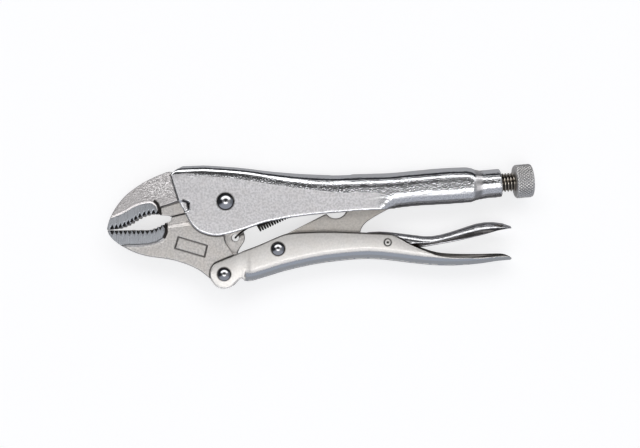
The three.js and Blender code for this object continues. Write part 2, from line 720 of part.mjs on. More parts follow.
// ---------------------------------------------------------------- return spring
// Close-wound wire between the lug of the lower jaw and the tongue of the upper handle. One straight
// leg ends in a hook down through the lug's hole, the other turns round behind the tongue.
function returnSpring() {
  const start = new THREE.Vector3(springHole.x, springHole.y, 0);
  const finish = new THREE.Vector3(springAnchor.x, springAnchor.y, 0);
  const axis = finish.clone().sub(start).normalize();
  const across = new THREE.Vector3(-axis.y, axis.x, 0);
  const at = (along, side, height) => start.clone()
    .addScaledVector(axis, along)
    .addScaledVector(across, side)
    .setZ(height);
  const reach = start.distanceTo(finish);
  const coilLength = springTurns * springPitch;
  const through = -springWeb / 2 - springWire;
  const path = [at(0, 0, through), at(0, 0, 0), at(0.2, 0, springRadius - 0.8)];
  path.push(at(0.9, 0, springRadius), at(hookLeg / 2, 0, springRadius));
  const perTurn = 12;
  for (let i = 0; i <= springTurns * perTurn; i += 1) {
    const angle = (2 * Math.PI * i) / perTurn;
    const along = hookLeg + (coilLength * i) / (springTurns * perTurn);
    path.push(at(along, springRadius * Math.sin(angle), springRadius * Math.cos(angle)));
  }
  path.push(at((hookLeg + coilLength + reach) / 2, 0, springRadius));
  for (let i = 0; i <= 6; i += 1) {
    const angle = (Math.PI * i) / 6;
    path.push(at(reach + springRadius * Math.sin(angle), 0, springRadius * Math.cos(angle)));
  }
  path.push(at(reach - 2, 0, -springRadius));
  const wire = new THREE.Shape();
  wire.absarc(0, 0, springWire / 2, 0, 2 * Math.PI, false);
  const route = new THREE.CatmullRomCurve3(path, false, 'centripetal');
  route.arcLengthDivisions = 2000;
  const geometry = new THREE.ExtrudeGeometry(wire, {
    steps: 230,
    curveSegments: 3,
    bevelEnabled: false,
    extrudePath: route,
  });
  return steelPiece('return_spring', geometry, 0x6f6e6c, 0.4);
}

// ---------------------------------------------------------------- assembly
function rivetAt(name, rivet, pivot, stackHalf) {
  const mesh = steelPiece(name, rivetGeometry(rivet, stackHalf), 0xd2d2d4, 0.12);
  mesh.position.set(pivot.x, pivot.y, 0);
  return mesh;
}

const tool = new THREE.Group();
tool.add(upperHandle());
tool.add(upperJaw());
tool.add(lowerJaw());
tool.add(lowerHandle());
tool.add(toggleLink());
tool.add(releaseLever());
tool.add(screwGroup());
tool.add(returnSpring());
tool.add(rivetAt('jaw_rivet', mainRivet, mainPivot, channelHalf));
tool.add(rivetAt('handle_rivet', handleRivet, handlePivot, earHalf));
tool.add(rivetAt('link_rivet', handleRivet, linkPivot, lowerHalf));
tool.add(rivetAt('lever_rivet', leverRivet, leverPivot, lowerHalf));

// Origin: middle of the tool's outline, on the surface that it lies on.
tool.updateMatrixWorld(true);
const extent = new THREE.Box3().setFromObject(tool, true);
const middle = extent.getCenter(new THREE.Vector3());
tool.position.set(-middle.x, -middle.y, -extent.min.z);

const group = new THREE.Group();
group.add(tool);
export default group;
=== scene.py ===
# %% [markdown]
# # Locking pliers
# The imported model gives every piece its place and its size. This script keeps those places and gives
# the pieces the surfaces of the real tool: nickel over bent sheet and forged steel, ground jaw faces,
# a cut thread, a knurled knob and polished rivets. Everything is in metres, in the frame of the packed
# model.

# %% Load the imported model
import json
import math

import bmesh
import bpy
import numpy as np
from mathutils import Matrix, Vector, noise
from mathutils.bvhtree import BVHTree


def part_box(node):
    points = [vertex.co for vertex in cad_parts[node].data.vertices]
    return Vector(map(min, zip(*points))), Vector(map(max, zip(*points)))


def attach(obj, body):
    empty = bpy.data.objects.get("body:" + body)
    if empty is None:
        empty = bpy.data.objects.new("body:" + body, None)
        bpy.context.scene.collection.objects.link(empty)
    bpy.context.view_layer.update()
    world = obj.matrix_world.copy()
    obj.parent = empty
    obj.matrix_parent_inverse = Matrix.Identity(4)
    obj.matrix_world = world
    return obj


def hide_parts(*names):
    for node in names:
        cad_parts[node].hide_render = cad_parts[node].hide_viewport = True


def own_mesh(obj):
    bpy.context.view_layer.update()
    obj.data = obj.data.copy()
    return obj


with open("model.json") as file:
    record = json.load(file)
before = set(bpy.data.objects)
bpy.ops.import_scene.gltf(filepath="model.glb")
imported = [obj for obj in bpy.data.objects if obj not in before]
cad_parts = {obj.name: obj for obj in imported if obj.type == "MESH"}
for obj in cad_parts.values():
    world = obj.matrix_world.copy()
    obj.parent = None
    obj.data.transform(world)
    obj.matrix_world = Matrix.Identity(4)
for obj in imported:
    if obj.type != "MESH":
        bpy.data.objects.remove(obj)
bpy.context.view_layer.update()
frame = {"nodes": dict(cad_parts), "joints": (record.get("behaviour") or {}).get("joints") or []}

MM = 0.001

# %% [markdown]
# The shapes below are easiest to place in the plane of the tool, from the main pivot, which is the
# middle of the big rivet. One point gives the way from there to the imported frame.

# %% Where the main pivot is
low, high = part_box("jaw_rivet")
PIVOT = (low + high) / 2
print("main pivot, mm:", [round(c / MM, 2) for c in PIVOT])


def place(x, y, z=0.0):
    """A point given in millimetres from the main pivot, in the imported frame."""
    return PIVOT + Vector((x, y, z)) * MM


# %% [markdown]
# ## Camera
# The tool lies on its side and is seen square from above, so a camera without any turn is right: it
# looks down -Z with +Y upwards. A long lens from 0.6 m keeps the perspective small.

# %% Camera
SENSOR_WIDTH = 36.0
VIEW_WIDTH = 378.3 * MM
VIEW_CENTRE = Vector((-0.6, 1.15, 10.0)) * MM
VIEW_DISTANCE = 600 * MM
camera_data = bpy.data.cameras.new("camera")
camera_data.sensor_width = SENSOR_WIDTH
camera_data.lens = SENSOR_WIDTH * VIEW_DISTANCE / VIEW_WIDTH
camera_data.clip_start = 0.01
camera = bpy.data.objects.new("camera", camera_data)
camera.location = VIEW_CENTRE + Vector((0, 0, VIEW_DISTANCE))
bpy.context.scene.collection.objects.link(camera)
bpy.context.scene.camera = camera
bpy.context.scene.view_settings.view_transform = "Standard"
print("lens, mm:", round(camera_data.lens, 1))

# %% [markdown]
# ## Helpers for materials
# Every material is a small tree of nodes. One function adds a node: what is a property of the node is
# set as a property, what names an input is put on that input, and an output of another node is linked.

# %% Colours and nodes


def linear(hex_colour):
    """An sRGB colour such as "#D2D0CF" as the linear RGBA that shaders take."""
    parts = [int(hex_colour[i:i + 2], 16) / 255 for i in (1, 3, 5)]
    return [p / 12.92 if p <= 0.04045 else ((p + 0.055) / 1.055) ** 2.4 for p in parts] + [1.0]


def add(tree, kind, inputs=None, **properties):
    """Adds a node with its properties and its inputs, each a constant or another node's output."""
    made = tree.nodes.new(kind)
    for name, value in properties.items():
        setattr(made, name, value)
    for name, value in (inputs or {}).items():
        if isinstance(value, bpy.types.NodeSocket):
            tree.links.new(value, made.inputs[name])
        else:
            made.inputs[name].default_value = value
    return made


# %% [markdown]
# ## Nickel-plated steel
# Nearly the whole tool is steel under nickel, and what changes is what lies under the plating. Bent
# sheet was blasted before it was plated, so its skin has a fine orange peel that breaks up each
# highlight. A forging keeps the coarse grain of its scale. Ground faces have straight scratches. A
# picture of each finish would have to be wrapped round every bend. Noise in space needs no wrapping, so
# one function makes all of the finishes from it: a metal with two sizes of bump, a fine change in its
# gloss, and clouds in its colour. The grain of blasted sheet is a few tenths of a millimetre across,
# too fine to show from this distance, so it is drawn about twice as coarse.
#
# Three numbers on the points of a piece change the finish from place to place. The first is where
# bending and rolling have polished the sheet, and where its colour is painted a cooler tone, as a
# painted reflection. The second, "heaved", is where they have raised its grain, and the third is
# where shade is painted into the colour, where little light reaches.

# %% Plated steel
MOTTLE_SIZE = 1.15
MOTTLE_RANGE = (0.38, 0.62)
MOTTLE_DARKENS_TO = 0.3
STAIN_SIZE = 9.0
STAIN_RANGE = (0.42, 0.75)
STAIN_TINT = (0.93, 0.89, 0.84)
SMOOTHEST = 0.03
# The colour of painted shade: a dark brown, mixed in where a piece is marked for shade.
PAINTED_SHADE_COLOUR = "#1E1814"


def plated_steel(name, colour, roughness, peel, grit, spread=0.06, stretch=(1, 1, 1), stain=0.0,
                 mottle=0.06, polish_and_sheen=None):
    """Peel and grit are (size, height) of the coarse and the fine relief in millimetres. A small stretch
    draws the relief out along its axis into scratches. Stain is how much of a warmer tone is mixed in,
    and mottle how much darker the plating is, in clouds. The last argument is the (roughness, peel
    height, colour) of a place that is polished and heaved. Its colour is a painted reflection: a cooler,
    a little darker tone on the polished bends. Painted shade is mixed in wherever a piece is marked for
    it."""
    material = bpy.data.materials.new(name)
    material.use_nodes = True
    tree = material.node_tree
    tree.nodes.clear()
    on_piece = add(tree, "ShaderNodeTexCoord").outputs["Object"]
    drawn_out = add(tree, "ShaderNodeMapping", {"Vector": on_piece, "Scale": stretch}).outputs["Vector"]
    painted_shade = add(tree, "ShaderNodeAttribute", attribute_name="painted_shade").outputs["Fac"]
    if polish_and_sheen:
        mask = add(tree, "ShaderNodeAttribute", attribute_name="polish_and_sheen").outputs["Fac"]
        heave = add(tree, "ShaderNodeAttribute", attribute_name="heaved").outputs["Fac"]
    normal = None
    for size, height in (peel, grit):
        relief = add(tree, "ShaderNodeTexNoise", {
            "Vector": drawn_out, "Scale": 1 / (size * MM), "Detail": 1.0, "Roughness": 0.5,
        }).outputs["Fac"]
        raised = relief
        if polish_and_sheen:
            swell = add(tree, "ShaderNodeMapRange", {
                "Value": heave, "To Min": 1.0, "To Max": polish_and_sheen[1] / peel[1]}).outputs["Result"]
            raised = add(tree, "ShaderNodeMath", {0: relief, 1: swell}, operation="MULTIPLY").outputs[0]
        under = {"Normal": normal} if normal else {}
        normal = add(tree, "ShaderNodeBump", {
            "Height": raised, "Distance": height * MM, **under}).outputs["Normal"]
    gloss = add(tree, "ShaderNodeMapRange", {
        "Value": relief, "From Min": 0.3, "From Max": 0.7,
        "To Min": max(roughness - spread, SMOOTHEST), "To Max": roughness + spread,
    }).outputs["Result"]
    if polish_and_sheen:
        polish = add(tree, "ShaderNodeMapRange", {
            "Value": mask, "To Max": polish_and_sheen[0] - roughness}).outputs["Result"]
        gloss = add(tree, "ShaderNodeMath", {0: gloss, 1: polish}).outputs[0]

    def clouds(size, thresholds, most):
        """Soft clouds of this size in millimetres, 0 between them and most in their middle."""
        cloud = add(tree, "ShaderNodeTexNoise", {
            "Vector": on_piece, "Scale": 1 / (size * MM), "Detail": 3.0}).outputs["Fac"]
        return add(tree, "ShaderNodeMapRange", {
            "Value": cloud, "From Min": thresholds[0], "From Max": thresholds[1],
            "To Max": most}).outputs["Result"]

    darker = [channel * MOTTLE_DARKENS_TO for channel in linear(colour)[:3]] + [1.0]
    warmer = [channel * part for channel, part in zip(linear(colour), STAIN_TINT)] + [1.0]
    coats = []
    if mottle:
        coats.append((clouds(MOTTLE_SIZE, MOTTLE_RANGE, mottle), darker))
    if stain:
        coats.append((clouds(STAIN_SIZE, STAIN_RANGE, stain), warmer))
    # Painted reflection: polished places take a cooler, darker colour.
    if polish_and_sheen:
        coats.append((mask, linear(polish_and_sheen[2])))
    # Painted shade: the dark colour goes over everything else where the piece is marked for it.
    coats.append((painted_shade, linear(PAINTED_SHADE_COLOUR)))
    tint = linear(colour)
    for share, coat in coats:
        tint = add(tree, "ShaderNodeMix", {0: share, 6: tint, 7: coat}, data_type="RGBA").outputs[2]
    shader = add(tree, "ShaderNodeBsdfPrincipled", {
        "Base Color": tint, "Metallic": 1.0, "Roughness": gloss, "Normal": normal})
    add(tree, "ShaderNodeOutputMaterial", {"Surface": shader.outputs["BSDF"]})
    return material


# Blasted sheet: a soft sheen broken by a fine peel, and near mirrors where it was bent or rolled, with
# a cooler tone painted there as a reflection.
plated_sheet = plated_steel(
    "nickel_plated_sheet", "#F3F1F3", 0.46, (0.8, 0.03), (0.45, 0.01),
    stain=0.2, mottle=0.36, polish_and_sheen=(0.05, 0.13, "#ECEDF0"))
# Scale left as it was forged: glossy but rough, so it sparkles in small points.
forged_skin = plated_steel(
    "nickel_plated_forging_scale", "#E2DEDE", 0.32, (0.6, 0.06), (0.4, 0.03), mottle=0.2)
# The dressed part of a forging: an uneven satin with a few brownish clouds.
smooth_forging = plated_steel(
    "nickel_plated_forging", "#E3DFDC", 0.4, (0.9, 0.06), (0.5, 0.03), stain=0.4, mottle=0.35)
# Ground flat after forging: a darker, bluer grey with straight scratches across the jaw.
ground_steel = plated_steel(
    "ground_nickel_plated_steel", "#BFC2C8", 0.3, (0.8, 0.06), (0.5, 0.03), stretch=(1, 0.06, 0.2))
# Sheet plated as it left the press: an even satin, glossier along its bend, with a darker, bluer tone
# painted there as a reflection.
satin_sheet = plated_steel(
    "satin_nickel_plated_sheet", "#E9E6E3", 0.36, (1.4, 0.02), (0.6, 0.006),
    stain=0.25, mottle=0.12, polish_and_sheen=(0.1, 0.02, "#D6D9DE"))
# Tumbled among stones: dull, a little brown, without any clear reflection.
tumbled_steel = plated_steel(
    "tumbled_steel", "#D5D0CA", 0.5, (0.9, 0.03), (0.5, 0.02), stain=0.5, mottle=0.2)
# Bright nickel on smooth sheet: reflections that a coarse peel bends.
bright_sheet = plated_steel(
    "bright_nickel_plated_sheet", "#D9D9DC", 0.18, (0.8, 0.06), (0.5, 0.01), mottle=0.2)
# A cut and oiled thread: glossy flanks with a warm tinge.
screw_steel = plated_steel("cut_screw_steel", "#D6CFC5", 0.16, (1.2, 0.02), (0.5, 0.01), stain=0.6)
# Pressed by knurling wheels: satin pyramids that each catch the light on one side.
knurled_steel = plated_steel("knurled_steel", "#F0EEED", 0.38, (1.2, 0.02), (0.5, 0.01))
# Hard-drawn wire, oiled and not plated: dark, with one thin highlight along each coil.
spring_steel = plated_steel("drawn_spring_wire", "#4A4745", 0.3, (1.0, 0.01), (0.5, 0.01))
# Polished before it was plated: a mirror.
polished_steel = plated_steel(
    "polished_rivet_steel", "#C2C2C6", 0.03, (2.0, 0.004), (0.8, 0.002), spread=0.01, mottle=0.0)
print("materials:", len(bpy.data.materials))

# %% [markdown]
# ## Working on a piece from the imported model
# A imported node's mesh is loose triangles with flat facets and dead sharp edges. Plated steel never has
# either: tumbling and the plating itself round every edge. A Bevel modifier would round them too, but
# it needs clean faces, which these triangles aren't. So a piece is worked on as a copy: its triangles
# are welded together, an even skin of small quads is laid over it, and that skin is relaxed, which
# wears the edges round and takes out the facets. The copy then stands for the node.

# %% Copy, even skin, worn edges


def shown(name, mesh, *materials):
    """A new object at the origin with this mesh and these materials."""
    for material in materials:
        mesh.materials.append(material)
    piece = bpy.data.objects.new(name, mesh)
    bpy.context.scene.collection.objects.link(piece)
    return piece


def applied(piece):
    """Puts what the modifiers make into the mesh itself."""
    evaluated = piece.evaluated_get(bpy.context.evaluated_depsgraph_get())
    baked = bpy.data.meshes.new_from_object(evaluated)
    piece.modifiers.clear()
    piece.data = baked
    return piece


def worn(name, node, grain, wear, *materials):
    """A copy of a node with an even skin and worn edges. Grain is the size of a quad in millimetres, and
    wear is how many rounds of relaxing it gets."""
    bm = bmesh.new()
    bm.from_mesh(frame["nodes"][node].data)
    bmesh.ops.remove_doubles(bm, verts=bm.verts, dist=0.002 * MM)
    mesh = bpy.data.meshes.new(name)
    bm.to_mesh(mesh)
    bm.free()
    mesh.materials.clear()
    piece = shown(name, mesh, *materials)
    skin = piece.modifiers.new("even skin", "REMESH")
    skin.mode = "VOXEL"
    skin.voxel_size = grain * MM
    relax = piece.modifiers.new("worn edges", "SMOOTH")
    relax.factor = 0.5
    relax.iterations = wear
    applied(piece)
    piece.data.shade_smooth()
    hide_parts(node)
    print(name, "quads:", len(piece.data.polygons))
    return piece


# %% [markdown]
# ## Marks of press, grinder and use
# What a press or a grinder does to a piece is written as a function of where a point is and which way
# it faces. One helper moves the points by it, and another stores it as a number that the material
# reads. Cutting with booleans would leave sharp rims and needs clean solids. On an even skin of small
# quads it is enough to move the points.

# %% Moving and marking points


def read(items, what):
    """One vector of each vertex or face, as the rows of an array."""
    rows = np.empty(len(items) * 3, np.float32)
    items.foreach_get(what, rows)
    return rows.reshape(-1, 3)


def from_pivot(points):
    """Rows of points as three arrays x, y and z, in millimetres from the main pivot."""
    return ((points - np.array(PIVOT)) / MM).T


def tooled(piece, move):
    """Moves a piece's points. Move gets x, y and z in millimetres from the main pivot and the normals,
    and gives back how far each point goes, in millimetres."""
    points = read(piece.data.vertices, "co")
    moved = points + move(*from_pivot(points), read(piece.data.vertices, "normal")) * MM
    piece.data.vertices.foreach_set("co", moved.astype(np.float32).ravel())
    piece.data.update()


def marked(piece, name, strength):
    """Gives each point a number from 0 to 1 that a material can read."""
    normals = read(piece.data.vertices, "normal")
    values = strength(*from_pivot(read(piece.data.vertices, "co")), normals)
    mark = piece.data.attributes.new(name, "FLOAT", "POINT")
    mark.data.foreach_set("value", values.astype(np.float32))


def inward(z, depth):
    """The move of points that are pressed by this depth towards the middle plane of the tool."""
    return np.stack([z * 0, z * 0, -np.sign(z) * depth], axis=1)


# %% [markdown]
# ## Painted shade
# A tool looks darker where little light reaches: in the seams between its pieces, and in its notches
# and grooves. That shade is painted into the colour. Painted on by hand, it would have to be painted
# again after every change of shape. Here the distance from each point to the neighbouring pieces
# decides, so a seam is shaded wherever it runs.

# %% Painted shade in the seams
FULL_WITHIN = 0.3


def step(value, start, end):
    """0 before start, 1 after end, and smooth between."""
    t = np.clip((value - start) / (end - start), 0, 1)
    return t * t * (3 - 2 * t)


def paint_seam_shade(piece, reach, *nodes, also=None, strength=0.95):
    """Marks painted shade within reach millimetres of other nodes, in the seams where little light gets
    in, and where a function of the point says so."""
    meshes = [frame["nodes"][node].data for node in nodes]
    trees = [BVHTree.FromPolygons([v.co for v in mesh.vertices], [f.vertices for f in mesh.polygons])
             for mesh in meshes]
    apart = np.full(len(piece.data.vertices), reach)
    for index, vertex in enumerate(piece.data.vertices):
        for tree in trees:
            distance = tree.find_nearest(vertex.co, reach * MM)[3]
            if distance is not None:
                apart[index] = min(apart[index], distance / MM)

    def chosen(x, y, z, normals):
        near = 1 - step(apart, reach * FULL_WITHIN, reach)
        return strength * (np.maximum(near, also(x, y, z, normals)) if also else near)

    marked(piece, "painted_shade", chosen)


# %% [markdown]
# ## Lines and edges
# Many marks follow a line on the piece, such as a frame or the edge of a pad, or lie a certain way in
# from its upper edge, as the bright band beside a bend does. Two measures are enough for them: how far
# a point is from a line, and how high the piece reaches beside it.

# %% Lines and edges
FAR = 1e9


def near_line(x, y, points):
    """The distance from each point to a line through these points."""
    nearest = np.full(len(x), FAR)
    for (ax, ay), (bx, by) in zip(points, points[1:]):
        length = (bx - ax) ** 2 + (by - ay) ** 2
        t = np.clip(((x - ax) * (bx - ax) + (y - ay) * (by - ay)) / length, 0, 1)
        nearest = np.minimum(nearest, np.hypot(x - ax - t * (bx - ax), y - ay - t * (by - ay)))
    return nearest


def edges_of(x, y):
    """The lowest and the highest y beside each point, read off in slices of one millimetre."""
    slices = (np.round(x) - np.round(x.min())).astype(int)
    low_edge, high_edge = np.full(slices.max() + 1, FAR), np.full(slices.max() + 1, -FAR)
    np.minimum.at(low_edge, slices, y)
    np.maximum.at(high_edge, slices, y)
    at = x - np.round(x.min())
    stations = np.arange(slices.max() + 1)
    return np.interp(at, stations, low_edge), np.interp(at, stations, high_edge)


# %% [markdown]
# ## Upper handle
# One sheet, bent to a channel, curled to a tube and drawn down to a neck. Behind the jaw's wire cutter
# its cheeks are staked: a punch has pressed a pocket into each, which keeps the fixed jaw from sliding
# out. The pocket is made as the punch makes it, by pushing the sheet in. Bending and rolling leave a
# bright band along the upper bend, a band of raised grain below it, and a bright tube.

# %% Upper handle
CHEEK = 5.0
STAKE_CENTRE = (-26.2, -2.9)
STAKE_REACH = (5.6, 3.5)
STAKE_DEPTH = 1.3
STAKE_END = [(-24.6, 0.4), (-22.4, -0.6), (-21.9, -3.2)]
POCKET_NEAR = 0.35
WAVE = 7.0
WAVE_HEIGHT = 0.05
SHOULDER = 147.8
SHOULDER_REACH = 3.4
SHOULDER_DEPTH = 0.3
BAND_NARROW = 6.3
PEEL_FROM = 4.0
PEEL_NARROW = 8.5
BAND_WIDENS = 5.5
# Between these stations, in x, a mark sets in or changes along the handle.
BAND_STARTS = (-34, -5)
BAND_GROWS = (-10, 110)
PEEL_SHORTENS = (78, 92)
TUBE_STARTS = (82, 100)
SEAM_STARTS = (84, 94)


def staked(x, y, z, normals):
    """The punch goes in slanting: the pocket is deepest at its far end and runs out at the near one."""
    across = np.abs((x - STAKE_CENTRE[0]) / STAKE_REACH[0])
    along = np.abs((y - STAKE_CENTRE[1]) / STAKE_REACH[1])
    near_end, far_end = STAKE_CENTRE[0] - STAKE_REACH[0], STAKE_CENTRE[0] + 0.5 * STAKE_REACH[0]
    slant = POCKET_NEAR + (1 - POCKET_NEAR) * step(x, near_end, far_end)
    pressed = STAKE_DEPTH * slant * (1 - step((across ** 4 + along ** 4) ** 0.25, 0.7, 1.0))
    return inward(z, pressed * (np.abs(z) > CHEEK))


def wavy(x, y, z, normals):
    """Pressed sheet is never quite flat: long low waves of a few hundredths of a millimetre."""
    waves = np.array([noise.noise(Vector(at) / WAVE) for at in zip(x, y, z)])
    return normals * (waves * WAVE_HEIGHT)[:, None]


def on_shoulder(x):
    """1 in the middle of the shoulder where the tube is drawn down to the neck, and 0 off it."""
    return 1 - step(np.abs(x - SHOULDER), 0.3 * SHOULDER_REACH, SHOULDER_REACH)


def necked(x, y, z, normals):
    """The die has left a shallow ring in the shoulder."""
    return -normals * (on_shoulder(x) * SHOULDER_DEPTH * (y > 0))[:, None]


def formed(x, y, z, normals):
    """Where the sheet was drawn round a bend, and all round the tube, rolling has polished it, and
    half as much where the lips curl under. The same mark paints a cooler tone there, as a painted
    reflection."""
    below_top = edges_of(x, y)[1] - y
    width = BAND_NARROW + BAND_WIDENS * step(x, *BAND_GROWS)
    drawn = (1 - step(below_top, width - 0.7, width + 1)) * step(x, *BAND_STARTS)
    bend = step(np.abs(normals[:, 1]), 0.02, 0.1)
    tube = step(x, *TUBE_STARTS)
    curl = step(-normals[:, 1], 0.05, 0.3)
    return np.maximum.reduce([bend, tube, drawn]) * (1 - 0.5 * curl) * (1 - 0.7 * on_shoulder(x))


def peeled(x, y, z, normals):
    """Stretching has heaved the grain of the sheet: most in the band beside the upper bend."""
    below_top = edges_of(x, y)[1] - y
    width = PEEL_NARROW + BAND_WIDENS * step(x, *BAND_GROWS)
    fade = 4 - 2.5 * step(x, *PEEL_SHORTENS)
    band = step(below_top, PEEL_FROM, PEEL_FROM + 1.5) * (1 - step(below_top, width, width + fade))
    return band * (1 - on_shoulder(x))


def handle_shade(x, y, z, normals):
    """Painted shade in the deep end of the staked pocket, along the seam where the tube's lips meet, and
    thinly in the ring of the shoulder, more on its lower side."""
    pocket = (1 - step(near_line(x, y, STAKE_END), 0.5, 1.3)) * (np.abs(z) > CHEEK)
    seam = 0.7 * step(-normals[:, 1], 0.6, 0.8) * step(x, *SEAM_STARTS)
    ring = on_shoulder(x) * (0.25 + 0.3 * step(-normals[:, 1], -0.1, 0.5))
    return np.maximum.reduce([pocket, seam, ring])


upper_handle = worn("upper_handle_sheet", "upper_handle", 0.54, 6, plated_sheet)
tooled(upper_handle, staked)
tooled(upper_handle, wavy)
tooled(upper_handle, necked)
marked(upper_handle, "polish_and_sheen", formed)
marked(upper_handle, "heaved", peeled)
# Painted shade in the seams by the rivet and the screw, in the pocket, along the lips' seam and in the
# shoulder ring.
paint_seam_shade(upper_handle, 0.9, "jaw_rivet", "adjusting_screw", also=handle_shade)
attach(upper_handle, "frame")

# %% [markdown]
# ## Jaws
# Both are forgings. Their gripping pads stand proud and are ground flat and blue-grey, and the teeth
# are cut through them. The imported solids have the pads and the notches. What is left is what cutting
# does to steel: the mouth of each notch is broken away a little. Where the notches end is read from
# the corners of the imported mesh, so the broken mouths sit on the real notches.

# %% What both jaws have
PAD_TOP = 5.75
SIDE = 3.0
TOOTH_DEPTH = 1.1
TOOTH_PITCH = 2.6
GULLET_REACH = 1.05
GULLET_SINK = 0.8


def ground_pads(x, y, z, normals):
    """True on the flat tops of the pads. As a number it picks the second material of a jaw."""
    return (np.abs(z) > PAD_TOP) & (np.abs(normals[:, 2]) > 0.97)


def painted(piece, chooser):
    """Gives each face the material whose number the chooser gives back."""
    normals = read(piece.data.polygons, "normal")
    chosen = chooser(*from_pivot(read(piece.data.polygons, "center")), normals)
    piece.data.polygons.foreach_set("material_index", chosen.astype(np.int32))


def height_of(line, x):
    """The y of a line of points at each x."""
    return np.interp(x, *zip(*line))


def gullets(node, line, side):
    """Where the notches between the teeth end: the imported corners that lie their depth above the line,
    on the upper jaw, or below it. Side is 1 or -1."""
    x, y, z = from_pivot(np.array([vertex.co for vertex in frame["nodes"][node].data.vertices]))
    off = (y - height_of(line, x)) * side
    found = (z > PAD_TOP) & (off > 0.5) & (near_line(x, y, line) < TOOTH_DEPTH + 0.25)
    found &= (x > line[0][0]) & (x < line[-1][0])
    kept = []
    for at in sorted(zip(x[found], y[found])):
        if not kept or at[0] - kept[-1][0] > TOOTH_PITCH / 2:
            kept.append(at)
    print("gullets in", node + ":", len(kept))
    return np.array(kept)


def near_gullets(x, y, points, side):
    """How far each point lies outside the small triangle that breaks away at the end of a notch."""
    dx = np.abs(x[:, None] - points[None, :, 0])
    dy = (y[:, None] - points[None, :, 1]) * side
    return np.min(np.maximum(dx + 0.45 * dy, -dy * 1.2), axis=1)


def sunk(points, side):
    """The mouth of each notch breaks away on the face of the pad."""
    def move(x, y, z, normals):
        pressed = GULLET_SINK * (1 - step(near_gullets(x, y, points, side), 0.3, GULLET_REACH))
        return inward(z, pressed * (np.abs(z) > PAD_TOP - 0.4))
    return move


def notch_shade(x, y, points, side):
    """Painted shade in the broken mouth of each notch."""
    return 1 - step(near_gullets(x, y, points, side), 0.75, 1.05)


# %% [markdown]
# ### Upper jaw
# The side of this jaw shows three finishes. Its pad is ground, the recess of the wire cutter is milled,
# and the rest keeps the scale of the forging, which is roughest near the handle. A bump in the material
# would do for its fine grain, but its lumps are high enough to roughen the edges too. So they are moves
# of the points, by a fractal noise.

# %% Upper jaw
UPPER_TEETH = [(-67.8, -16.6), (-63.5, -16.3), (-59, -14.9), (-55.5, -13.1), (-51.9, -10.8),
               (-48.4, -9.1), (-44.9, -8), (-41.5, -7.7), (-38.4, -8.1)]
CUTTER_TOP = [(-38.5, -3.6), (-26, 0.3)]
BEHIND_UPPER_PAD = [(-41.6, 0.0), (-40.0, -1.6), (-39.0, -4.2), (-38.6, -7.2)]
SCALE_SIZE = 0.65
SCALE_HEIGHT = 0.22


def upper_jaw_parts(x, y, z, normals):
    """0 forged skin, 1 ground pad, 2 the milled recess of the wire cutter."""
    recess = (x > CUTTER_TOP[0][0]) & (y < height_of(CUTTER_TOP, x)) & (np.abs(z) < PAD_TOP)
    return np.where(ground_pads(x, y, z, normals), 1, np.where(recess, 2, 0))


def scaled(x, y, z, normals):
    """The skin of a forging is heaved where it was not dressed, most of all near the handle."""
    bumps = np.array([noise.fractal(Vector(at) / SCALE_SIZE, 1.0, 2.0, 2) for at in zip(x, y, z)])
    rough = SCALE_HEIGHT * (0.15 + 0.85 * step(x, -56, -38) * step(y, 0, 5)) * (np.abs(z) < PAD_TOP)
    rough *= step(y - height_of(CUTTER_TOP, x), -0.5, 0.5)
    return normals * (bumps * rough)[:, None]


def upper_jaw_shade(x, y, z, normals):
    """Painted shade in the notches, in the corner behind the pad and along the upper edge of the wire
    cutter.
    """
    notch = notch_shade(x, y, upper_gullets, 1)
    behind_pad = 1 - step(near_line(x, y, BEHIND_UPPER_PAD), 0.7, 1.3)
    cutter = 0.8 * (1 - step(near_line(x, y, CUTTER_TOP), 0.5, 0.9))
    return np.maximum.reduce([notch, behind_pad, cutter]) * (np.abs(z) > SIDE)


upper_gullets = gullets("upper_jaw", UPPER_TEETH, 1)
upper_jaw = worn(
    "upper_jaw_forging", "upper_jaw", 0.27, 3, forged_skin, ground_steel, smooth_forging)
painted(upper_jaw, upper_jaw_parts)
tooled(upper_jaw, scaled)
tooled(upper_jaw, sunk(upper_gullets, 1))
# Painted shade in the seams with the handle and the lower jaw, in the notches and along the steps.
paint_seam_shade(upper_jaw, 1.1, "upper_handle", "lower_jaw", also=upper_jaw_shade)
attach(upper_jaw, "frame")

# %% [markdown]
# ### Lower jaw
# The moving jaw has a field on its side with a line pressed round it. The field stays bare. Beside the
# wire cutter the side slopes down to the blade. Both are pressed into the skin, the line by the
# distance to its own path and the slope by the height over the blade.

# %% Lower jaw
LOWER_TEETH = [(-67.8, -16.9), (-59, -16.75), (-52, -16.7), (-45, -16.5), (-41.4, -15.4),
               (-37.9, -13.7), (-35.5, -12.5)]
BEHIND_LOWER_PAD = [(-35.9, -12.2), (-34.9, -15), (-34.9, -18.2), (-36.0, -20.8)]
UNDER_LOWER_PAD = [(-36.0, -20.8), (-40.5, -23.6), (-45.4, -24.8), (-51.3, -25.2), (-57.2, -25.2),
                   (-61.5, -25.9)]
FIELD = [(-27.9, -20.8), (-11.0, -25.9), (-12.6, -32.5), (-29.9, -27.5)]
FIELD_LINE = FIELD + FIELD[:1]
LINE_HALF = 0.32
LINE_DEPTH = 0.3
BLADE_STEP = [(-34.2, -13.5), (-22, -12.0)]
BEVEL = 2.3
BEVEL_DEPTH = 1.0


def framed(x, y, z, normals):
    """A fine line pressed round the bare field, on the side that carries it."""
    pressed = 1 - step(near_line(x, y, FIELD_LINE), LINE_HALF * 0.4, LINE_HALF * 1.6)
    return inward(z, LINE_DEPTH * pressed * (z > CHEEK))


